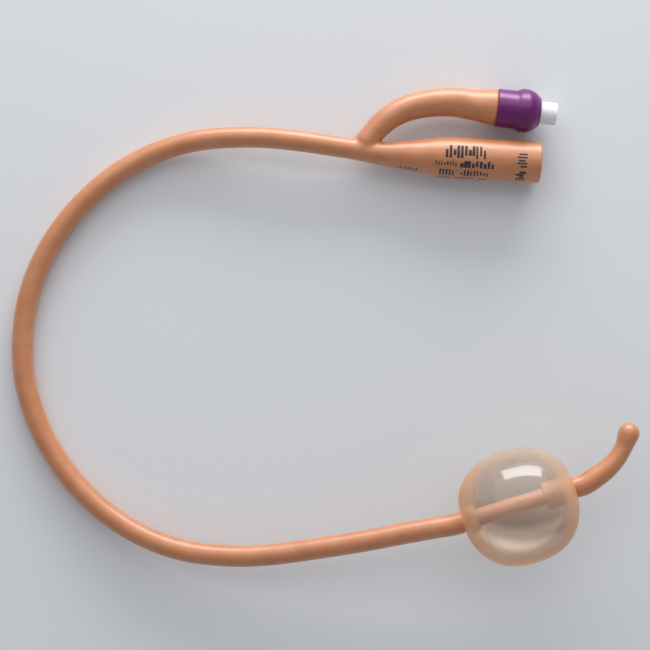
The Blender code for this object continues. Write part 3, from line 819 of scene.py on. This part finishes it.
valveSet = {
    "mouth": (0.0634, 0.0637, 0.0062),
    "tilt": math.radians(-3.5),
    "gap": 0.0002,
    "spigotRadius": 0.0032,
    "flangeRadius": 0.0046,
    "barrelRadius": 0.0036,
    "barrelLength": 0.0210,
    "spigotReach": 0.0047,
    "coneLength": 0.0030,
    "flangeLength": 0.0014,
    "luerRadius": 0.00215,
    "luerDepth": 0.0084,
    "luerTaper": 0.06,
    "luerEdge": 0.00015,
    "throatRadius": 0.00125,
    "throatLength": 0.0008,
    "chamberRadius": 0.00235,
    "retainerRim": 0.0010,
    "chamfer": 0.0003,
    "sleeveWall": 0.0005,
    "sleeveLength": 0.0125,
    "sleeveLip": (0.0002, 0.0003),
    "noseSamples": 34,
    "cuffSamples": 8,
    "waistRun": 0.0022,
    "noseWall": 0.0003,
    "noseRoundness": 1.4,
    "flangeWall": 0.0007,
    "barrelWall": 0.00095,
    "steps": 96,
}
valveOut = Vector((math.cos(valveSet["tilt"]), math.sin(valveSet["tilt"]), 0))
valveMatrix = facing(valveSet["mouth"], valveOut)
armEnd = valveSet["spigotReach"] + valveSet["sleeveWall"] + valveSet["gap"]
coneStart = armEnd + valveSet["gap"]
flangeStart = coneStart + valveSet["coneLength"]
flangeEnd = flangeStart + valveSet["flangeLength"]
sleeveEnd = valveSet["spigotReach"] + valveSet["sleeveLength"]
pocketEnd = valveSet["barrelLength"] + valveSet["retainerRim"] + 2 * valveSet["gap"]

armSet = {
    "rootRadius": 0.00305,
    "rootBeforeForkEnd": 0.0021,
    "riseShare": 0.5,
    "seatMiddle": 0.6,  # of the pocket, a point that keeps the seat straight
    "flareWall": 0.00135,
    "endWall": 0.0005,
    "flareLength": 0.0080,
    "straightPast": 0.0023,
    "filletReach": 0.0009,
    "rootTuck": 0.0007,  # so much thinner where it starts inside the tube
    "tuckLength": 0.0035,
    "clear": (0.0062, 0.006),  # of the cutter at its end: aside and ahead
    "spare": 0.0015,
    "mainSamples": 160,
    "armSamples": 150,
    "spacing": 0.0008,
    "sides": 40,
    "voxel": 0.00030,
    "capDepth": 0.001,
    "capFromMain": 0.004,
}


def seatRadius(depth, part=valveSet):
    # outside of the arm under the sleeve, at a depth from the spigot's mouth
    bulge = part["flangeRadius"] + part["gap"] + part["flangeWall"]
    waist = part["barrelRadius"] + part["gap"] + part["barrelWall"]
    nose = part["spigotRadius"] + part["gap"] + part["noseWall"]
    power = part["noseRoundness"]
    if depth < flangeStart:
        left = min(1.0, 1 - (depth - armEnd) / (flangeStart - armEnd))
        return nose + (bulge - nose) * (1 - left**power) ** (1 / power)
    return float(easedSteps([(flangeEnd, bulge), (flangeEnd + part["waistRun"], waist)], depth))


def armLine(part):
    rootAt = neckAt + tubeSet["funnelRunOut"] - part["rootBeforeForkEnd"]
    root = Vector(placeAt(tubePath, rootAt))
    back = (pocketEnd + part["straightPast"], pocketEnd, pocketEnd * part["seatMiddle"], armEnd)
    straight = [Vector(valveSet["mouth"]) - valveOut * d for d in back]
    way = (straight[0] - root) * Vector((1, 1, 0))
    rise = [(0, root.z), (part["riseShare"], valveSet["mouth"][2])]
    curved = [root]
    for along, out in armRoute:
        place = root + way * along - sideways(way) * way.length * out
        place.z = float(easedSteps(rise, along))
        curved.append(place)
    return smoothLine(curved + straight)


def armRadius(depth, rootDepth, part=armSet):
    flare = sleeveEnd + valveSet["gap"]
    slim = flare + part["flareLength"]
    inner = valveSet["barrelRadius"] + valveSet["gap"]
    if depth < flare:
        return seatRadius(depth)
    if depth < slim:
        walls = [(flare, inner + part["flareWall"]), (slim, inner + part["endWall"])]
        return float(easedSteps(walls, depth))
    share = (depth - slim) / (rootDepth - slim)
    return inner + part["endWall"] + (part["rootRadius"] - inner - part["endWall"]) * share


def mouthCutter(part):
    # all that lies outside the funnel's cut end, its bore and the start of the lumen
    outer, lumen = tubeSet["mouthRadius"], tubeSet["lumenRadius"]
    bore = outer - tubeSet["funnelWall"]
    shoulder = tubeSet["shoulderRadius"] - tubeSet["funnelWall"]
    straight = tubeSet["funnelStraight"]
    edge, inner, step = part["rimRound"], part["boreRound"], part["easeStep"]
    middle = inner * part["boreMiddle"]
    behind, before = part["ease"]
    profile = [
        (0, -neckAt - part["lumenPastNeck"]), (lumen, -neckAt - part["lumenPastNeck"]),
        (lumen, -neckAt - behind), (lumen + step, -neckAt + before),
        (shoulder - step, -straight - behind), (shoulder, -straight + before),
        (bore, -inner), (bore + middle, -middle), (bore + inner, 0),
    ]
    profile += [(outer - edge + edge * math.sin(t), -edge + edge * math.cos(t))
                for t in degreeSteps(0, 76, 15)]
    profile += [(outer + part["aside"], -edge * part["rimUnder"]),
                (outer + part["aside"], part["ahead"]), (0, part["ahead"])]
    mesh = turnedMesh("mouthCutter", profile, part["steps"], latex)
    mesh.transform(facing(placeAt(tubePath, 0.0), (1, 0, 0)))
    return mesh


def armEndCutter(part, clear):
    # the end of the arm beyond the valve's nose, and the pocket that holds the valve
    gap = part["gap"]
    barrel, flange = part["barrelRadius"] + gap, part["flangeRadius"] + gap
    spigot = part["spigotRadius"] + gap
    aside, ahead = clear
    profile = [
        (0, -pocketEnd), (barrel, -pocketEnd), (barrel, -flangeEnd - 2 * gap),
        (flange, -flangeEnd - gap), (flange, -flangeStart + gap / 2),
        (spigot, -coneStart + gap / 2), (spigot, -armEnd), (aside, -armEnd),
        (aside, ahead), (0, ahead),
    ]
    mesh = turnedMesh("armEndCutter", profile, part["steps"], latex)
    mesh.transform(valveMatrix)
    return mesh


def planeCutter(place, heading, size=0.02):
    # a block whose face passes through a place and which lies on the heading's side
    mesh = builtMesh("planeCutter", lambda shape: bmesh.ops.create_cube(shape, size=size))
    heading = Vector(heading)
    mesh.transform(facing(Vector(place) + heading * size / 2, heading))
    return mesh


def makeFork(part):
    spare = part["spare"]
    forkCut = tubeSet["forkCut"]
    where = np.linspace(-spare, forkCut + spare, part["mainSamples"])
    main = placeAt(tubePath, np.clip(where, 0, None))
    main[where < 0, 0] += -where[where < 0]
    mainRadii = outerRadius(np.clip(where, 0, None))
    arm = armLine(part)
    length = arm[1][-1]
    along = np.linspace(0, length, part["armSamples"])
    armPlaces = placeAt(arm, along)
    armRadii = np.array([armRadius(length - d + armEnd, length + armEnd) for d in along])
    armRadii -= part["rootTuck"] * (1 - easedSteps([(0, 0), (part["tuckLength"], 1)], along))
    armPlaces = np.vstack([armPlaces, armPlaces[-1] + np.array(valveOut) * spare])
    armRadii = np.append(armRadii, armRadii[-1])
    start = joined("forkStart", [
        tubeMesh("mainStart", main, mainRadii, part, latex),
        tubeMesh("armStart", armPlaces, armRadii, part, latex)])
    mesh = voxelCopy(start, part["voxel"], "forkMoulding")

    def field(points):
        a, toA, pastA = toTube(points, main, mainRadii)
        b, toB, pastB = toTube(points, armPlaces, armRadii)
        value, heading = blended((a, toA), (b, toB), part["filletReach"])
        armCap = (pastB & (b < a) & (b > -part["capDepth"])
                  & (np.abs(a) > part["capFromMain"]))
        return value, heading, (pastA & (a < b)) | armCap

    settle(mesh, field)
    cutters = [mouthCutter(mouthSet), armEndCutter(valveSet, part["clear"]),
               planeCutter(placeAt(tubePath, forkCut), headingAt(tubePath, forkCut))]
    return showPiece("forkMoulding", painted(cut(mesh, cutters, "forkMoulding"), latex))


forkMoulding = makeFork(armSet)
print("fork, funnel and arm made", len(forkMoulding.data.polygons))


# The tube inside the balloon, and the tip with its two drainage eyes

coreSet = {"samples": 60, "spacing": 0.0012, "sides": 56}

tipSet = {
    "eyeLength": 0.0052,
    "eyeWidth": 0.0024,
    "eyePastCollar": 0.0001,
    "eyeStagger": 0.0068,
    "eyeSides": (32, 20),
    "lumenPastEye": 0.0012,
    "lumenOffset": 0.000525,
    "lumenEndShare": 0.5,
    "edgeReach": 0.0006,
    "spare": 0.0010,
    "samples": 150,
    "spacing": 0.0004,
    "sides": 40,
    "lumen": {"samples": 60, "spacing": 0.0008, "sides": 24},
    "smallest": 1e-5,
    "voxel": 0.00017,
    "capDepth": 0.0003,
    "sharpFrom": 50,
}


def makeCore(part):
    where = np.linspace(nearStep, farStep, part["samples"])
    radii = np.full(len(where), tubeSet["coreRadius"])
    showPiece("coreTube", tubeMesh("coreTube", placeAt(tubePath, where), radii, part, coreLatex))


def lumenPlace(where, part):
    aside = np.array(sideways(headingAt(tubePath, where))) * part["lumenOffset"]
    return placeAt(tubePath, where) - aside


def placeEye(at, down, part):
    # middle, axes and half sizes of an egg that opens the wall
    heading = headingAt(tubePath, at)
    side = np.array(sideways(heading))
    out = np.cross(heading, side) if down else -side
    radius = float(outerRadius(at))
    sizes = np.array([part["eyeLength"] / 2, part["eyeWidth"] / 2,
                      radius - tubeSet["lumenRadius"] / 2])
    return placeAt(tubePath, at) + out * radius, (heading, np.cross(out, heading), out), sizes


def eyeMesh(centre, axes, sizes, sides):
    egg = builtMesh("eyeStart", lambda shape: bmesh.ops.create_uvsphere(
        shape, u_segments=sides[0], v_segments=sides[1], radius=1))
    turn = Matrix([Vector(a) for a in axes]).transposed().to_4x4()
    egg.transform(Matrix.Translation(centre) @ turn @ Matrix.Diagonal((*sizes, 1)))
    return egg


def makeTip(part):
    spare = part["spare"]
    where = np.linspace(farStep - spare, tubeEnd, part["samples"])
    line, radii = placeAt(tubePath, where), outerRadius(where)
    sideEye = farStep + part["eyePastCollar"] + part["eyeLength"] / 2
    lowerEye = sideEye + part["eyeStagger"]
    lumenEnd = lowerEye + part["eyeLength"] / 2 + part["lumenPastEye"]
    inside = np.linspace(farStep - spare * 2, lumenEnd, part["lumen"]["samples"])
    lumen = np.array([lumenPlace(d, part) for d in inside])
    lumenRadii = np.full(len(inside), tubeSet["lumenRadius"])
    lumenRadii[-1] *= part["lumenEndShare"]
    eyes = [placeEye(sideEye, False, part), placeEye(lowerEye, True, part)]
    outer = tubeMesh("tipStart", line, np.maximum(radii, part["smallest"]), part, latex)
    tools = [tubeMesh("lumenStart", lumen, lumenRadii, part["lumen"], latex)]
    tools += [eyeMesh(*eye, part["eyeSides"]) for eye in eyes]
    mesh = voxelCopy(cut(outer, tools, "tipStart"), part["voxel"], "tipTube")

    def field(points):
        a, toA, pastA = toTube(points, line, radii)
        hole, toHole, pastB = toTube(points, lumen, lumenRadii)
        hole = (hole, toHole)
        for eye in eyes:
            hole = blended(hole, toEgg(points, *eye), part["edgeReach"] / 2)
        value, heading = carved((a, toA), hole, part["edgeReach"])
        return value, heading, pastA | (pastB & (np.abs(hole[0]) < part["capDepth"]))

    settle(mesh, field)
    cutter = planeCutter(placeAt(tubePath, farStep), -headingAt(tubePath, farStep))
    mesh = painted(cut(mesh, [cutter], "tipTube"), latex)
    return showPiece("tipTube", mesh, angle=part["sharpFrom"])


makeCore(coreSet)
tipTube = makeTip(tipSet)
print("core and tip made", len(tipTube.data.polygons))


# The balloon

def balloonProfile(part):
    # outside of the balloon, from the collar near the tip to the collar near the shaft
    half, radius, power = part["halfLength"], part["radius"], part["squareness"]
    shaft, roll, lip = tubeSet["shaftRadius"], part["roll"], part["lip"]
    shoulder = half * (1 - (lip / radius) ** power) ** (1 / power)
    bend = part["clearance"] / 2

    def recess(depth, side):
        points = [(shaft, side * (half - part["collarInset"]))]
        for k in range(part["foldSteps"] + 1):
            turn = math.pi * k / part["foldSteps"]
            points.append((shaft + bend - bend * math.cos(turn),
                           side * (half - depth - bend * math.sin(turn))))
        return points + [(lip + roll * math.cos(turn),
                          side * (shoulder - roll + roll * math.sin(turn)))
                         for turn in degreeSteps(180, 90, -15)]

    dome = []
    start = math.asin((lip / radius) ** (power / 2))
    for k in range(part["domeSteps"] + 1):
        angle = start + (math.pi - 2 * start) * k / part["domeSteps"]
        up = half * abs(math.cos(angle)) ** (2 / power)
        dome.append((radius * math.sin(angle) ** (2 / power), math.copysign(up, math.cos(angle))))
    return recess(part["farRecess"], 1) + dome + recess(part["nearRecess"], -1)[::-1]


def makeBalloon(part):
    mesh = turnedMesh("balloonSkin", balloonProfile(part), part["steps"], membrane)
    turn = balloonAxis.to_track_quat("Z", "Y")
    aside = np.array(turn.inverted() @ sideways(balloonAxis)) * part["aside"]
    points = getPoints(mesh)
    hang = easedSteps([(part["lip"], 0), (part["radius"], 1)],
                      np.hypot(points[:, 0], points[:, 1]))
    setPoints(mesh, points + hang[:, None] * aside)
    source = addPiece("balloonSkin", mesh)
    wall = source.modifiers.new("wall", "SOLIDIFY")
    wall.thickness = part["wall"]
    wall.offset = -1
    wall.use_even_offset = True
    mesh = bakedCopy(source, "balloonSkin")
    mesh.transform(facing(balloonCentre, balloonAxis))
    showPiece("balloonSkin", mesh, "retention_balloon", part["sharpFrom"])


makeBalloon(balloonSet)
print("balloon made")


# The valve and its sleeve

def finishTurned(name, profile, node, material):
    mesh = turnedMesh(name, profile, valveSet["steps"], material, ring=True)
    mesh.transform(valveMatrix)
    showPiece(name, mesh, node)


def makeValveSleeve(part):
    lip = part["spigotRadius"] + part["gap"]
    waist = flangeEnd + part["waistRun"]
    grow = part["gap"] + part["sleeveWall"]
    inset, drop = part["sleeveLip"]
    depths = list(np.linspace(armEnd, waist, part["noseSamples"]))
    depths += list(np.linspace(waist, sleeveEnd - drop, part["cuffSamples"]))[1:]
    outer = [(seatRadius(d) + grow, -d) for d in depths]
    nose, edge = outer[0][0], outer[-1][0]
    rounding = [(lip + (nose - lip) * math.sin(t),
                 -armEnd + (armEnd - part["spigotReach"]) * math.cos(t))
                for t in degreeSteps(0, 90, 10)]
    cuff = [(edge - inset + inset * math.cos(t), -sleeveEnd + drop - drop * math.sin(t))
            for t in degreeSteps(15, 91, 15)]
    inner = [(seatRadius(d) + part["gap"], -d) for d in reversed(depths + [sleeveEnd])]
    seat = -part["spigotReach"] - part["sleeveWall"]
    inner += [(inner[-1][0], seat), (lip, seat)]
    finishTurned("sleeveSkin", rounding + outer + cuff + inner, "valve_sleeve",
                 sleeveRubber)


def makeHousing(part):
    chamfer, edge = part["chamfer"], part["luerEdge"]
    spigot, flange, barrel = part["spigotRadius"], part["flangeRadius"], part["barrelRadius"]
    luer, depth, back = part["luerRadius"], part["luerDepth"], part["barrelLength"]
    chamberStart = depth + part["throatLength"]
    profile = [(spigot - chamfer + chamfer * math.sin(t), -chamfer + chamfer * math.cos(t))
               for t in degreeSteps(0, 91, 15)]
    profile += [
        (spigot, -coneStart), (flange, -flangeStart), (flange, -flangeEnd + chamfer),
        (flange - chamfer, -flangeEnd), (barrel, -flangeEnd),
        (barrel, -back + chamfer), (barrel - chamfer, -back), (part["chamberRadius"], -back),
        (part["chamberRadius"], -chamberStart), (part["throatRadius"], -chamberStart),
        (part["throatRadius"], -depth), (luer - depth * part["luerTaper"] / 2, -depth),
        (luer, -edge), (luer + edge, 0),
    ]
    finishTurned("valveBody", profile, "valve_housing", moulded["whitePlastic"])


springSet = {
    "wire": 0.00034,
    "reach": 0.00145,
    "start": 0.0115,
    "length": 0.0044,
    "turns": 4.5,
    "keep": 0.66,
    "samples": 220,
    "spacing": 0.00022,
    "sides": 12,
}


def makeSpring(part):
    share = np.linspace(0, 1, part["samples"])
    angle = 2 * math.pi * part["turns"] * share
    depth = part["start"] + part["wire"] / 2 + (part["length"] - part["wire"]) * share
    places = np.stack([part["reach"] * np.cos(angle), part["reach"] * np.sin(angle), -depth], 1)
    radii = np.full(len(share), part["wire"] / 2)
    mesh = tubeMesh("valveSpring", places, radii, part, moulded["springSteel"])
    mesh.transform(valveMatrix)
    piece = showPiece("valveSpring", mesh, "valve_spring")
    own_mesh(piece)


makeValveSleeve(valveSet)
makeHousing(valveSet)
makeSpring(springSet)
for name, material in (("valve_stem", "whitePlastic"), ("valve_retainer", "whitePlastic"),
                       ("valve_seal", "blackRubber")):
    painted(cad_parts[name].data, moulded[material])
print("valve made")


# Printed marks on the funnel, rows of plain bars that say nothing

printSet = {
    "lift": 0.00001,
    "depth": 0.00002,
    "cell": 0.0004,
    "seed": 11,
    "wordGap": 1.6,
    "inkSpread": (0.75, 1.3),
    "topCuts": (0, 0, 0.16, 0.34),
    "bottomCuts": (0, 0, 0.2),
    # millimetres from the mouth, degrees from the top, bars in each word,
    # share of their pitch that is ink, and whether they run along the funnel
    "rows": [
        (27.5, 15.6, -31, 5, (11,), 0.66, False),
        (30.2, 23.8, 15, 30, (8,), 0.40, False),
        (23.2, 13.2, 12, 32, (9,), 0.74, False),
        (29.0, 14.6, 40, 62, (5, 9), 0.50, False),
        (28.8, 14.9, 71, 83, (6, 9, 5), 0.50, False),
        (7.1, 4.3, -16, 26, (5,), 0.66, True),
        (7.2, 4.4, 35, 76, (5,), 0.66, True),
    ],
    "fadedRows": [(40.8, 34.9, 52, 72, (8,), 0.50, False)],
}


def funnelPoint(fromMouth, angle, lift):
    radius = float(outerRadius(fromMouth)) + lift
    x, y, z = placeAt(tubePath, fromMouth)
    return Vector((x, y - radius * math.sin(angle), z + radius * math.cos(angle)))


def addBlock(shape, start, end, low, high, part):
    # one closed block of ink that follows the funnel's surface
    along = max(1, math.ceil((start - end) / part["cell"]))
    around = max(1, math.ceil((high - low) * tubeSet["mouthRadius"] / part["cell"]))
    layers = []
    for lift in (part["lift"], part["lift"] + part["depth"]):
        layers.append([[shape.verts.new(funnelPoint(start + (end - start) * i / along,
                                                    low + (high - low) * j / around, lift))
                        for j in range(around + 1)] for i in range(along + 1)])
    for layer, flip in zip(layers, (True, False)):
        for i in range(along):
            for j in range(around):
                ring = [layer[i][j], layer[i + 1][j], layer[i + 1][j + 1], layer[i][j + 1]]
                shape.faces.new(ring[::-1] if flip else ring)
    edge = [(i, 0) for i in range(along)] + [(along, j) for j in range(around)]
    edge += [(i, around) for i in range(along, 0, -1)] + [(0, j) for j in range(around, 0, -1)]
    for (i, j), (m, n) in zip(edge, edge[1:] + edge[:1]):
        shape.faces.new((layers[0][i][j], layers[0][m][n], layers[1][m][n], layers[1][i][j]))


def addRow(shape, row, part, chance):
    start, end, low, high, words, inked, alongFunnel = row
    total = sum(words) + part["wordGap"] * (len(words) - 1)
    at = 0
    for count in words:
        for _ in range(count):
            run = (at / total, (at + inked * chance.uniform(*part["inkSpread"])) / total)
            rise = (chance.choice(part["topCuts"]), 1 - chance.choice(part["bottomCuts"]))
            far, turned = (rise, run) if alongFunnel else (run, rise)
            first, last = ((start + (end - start) * share) / 1000 for share in far)
            top, bottom = (math.radians(low + (high - low) * share) for share in turned)
            addBlock(shape, first, last, top, bottom, part)
            at += 1
        at += part["wordGap"]


def makePrint(name, rows, material, part):
    chance = random.Random(part["seed"])

    def build(shape):
        for row in rows:
            addRow(shape, row, part, chance)
        faceOutwards(shape)

    mesh = painted(builtMesh(name, build), material)
    mesh.shade_smooth()
    piece = addPiece(name, mesh)
    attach(piece, "catheter")


makePrint("funnelPrint", printSet["rows"], moulded["darkInk"], printSet)
makePrint("smallPrint", printSet["fadedRows"], moulded["fadedInk"], printSet)
print("print made")


# Floor, world and lamps

stageSet = {
    "floorSize": 6,
    "floorDrop": 0.00002,
    "floor": {"Base Color": (0.84, 0.865, 0.90), "Roughness": 0.75, "Specular IOR Level": 0.2},
    "world": {"Color": (0.88, 0.91, 0.96), "Strength": 0.36},
    "lampColour": (1, 0.99, 0.98),
    "aim": (0, 0, 0.01),
    # size across and high, watts, metres away, elevation, turn to the right
    "lamps": {
        "lowKey": ((0.66, 0.35), 5.3, 0.72, math.radians(10.5), math.radians(5)),
        "highKey": ((2.00, 1.30), 7.5, 1.2, math.radians(42), 0.0),
    },
}


def makeFloor(part):
    mesh = builtMesh("floor", lambda shape: bmesh.ops.create_grid(
        shape, x_segments=1, y_segments=1, size=part["floorSize"]))
    material, tree, shader = newMaterial("paleFloor")
    fillSockets(tree, shader, part["floor"])
    floor = addPiece("floor", painted(mesh, material))
    floor.location.z = -part["floorDrop"]


def makeWorld(part):
    world = bpy.data.worlds.new("studio")
    bpy.context.scene.world = world
    world.use_nodes = True
    fillSockets(world.node_tree, world.node_tree.nodes["Background"], part["world"])


def makeLamp(name, part):
    size, power, distance, rise, right = part["lamps"][name]
    data = bpy.data.lights.new(name, "AREA")
    data.shape = "RECTANGLE"
    data.size, data.size_y = size
    data.energy = power
    data.color = part["lampColour"]
    lamp = addPiece(name, data)
    turn = cameraSet["turn"] - right
    towards = Vector((-math.sin(turn) * math.cos(rise), math.cos(turn) * math.cos(rise),
                      math.sin(rise)))
    lamp.location = Vector(part["aim"]) + towards * distance
    lamp.rotation_euler = towards.to_track_quat("Z", "Y").to_euler()


makeFloor(stageSet)
makeWorld(stageSet)
for name in stageSet["lamps"]:
    makeLamp(name, stageSet)
bpy.context.scene.view_settings.view_transform = "Standard"
print("stage made")
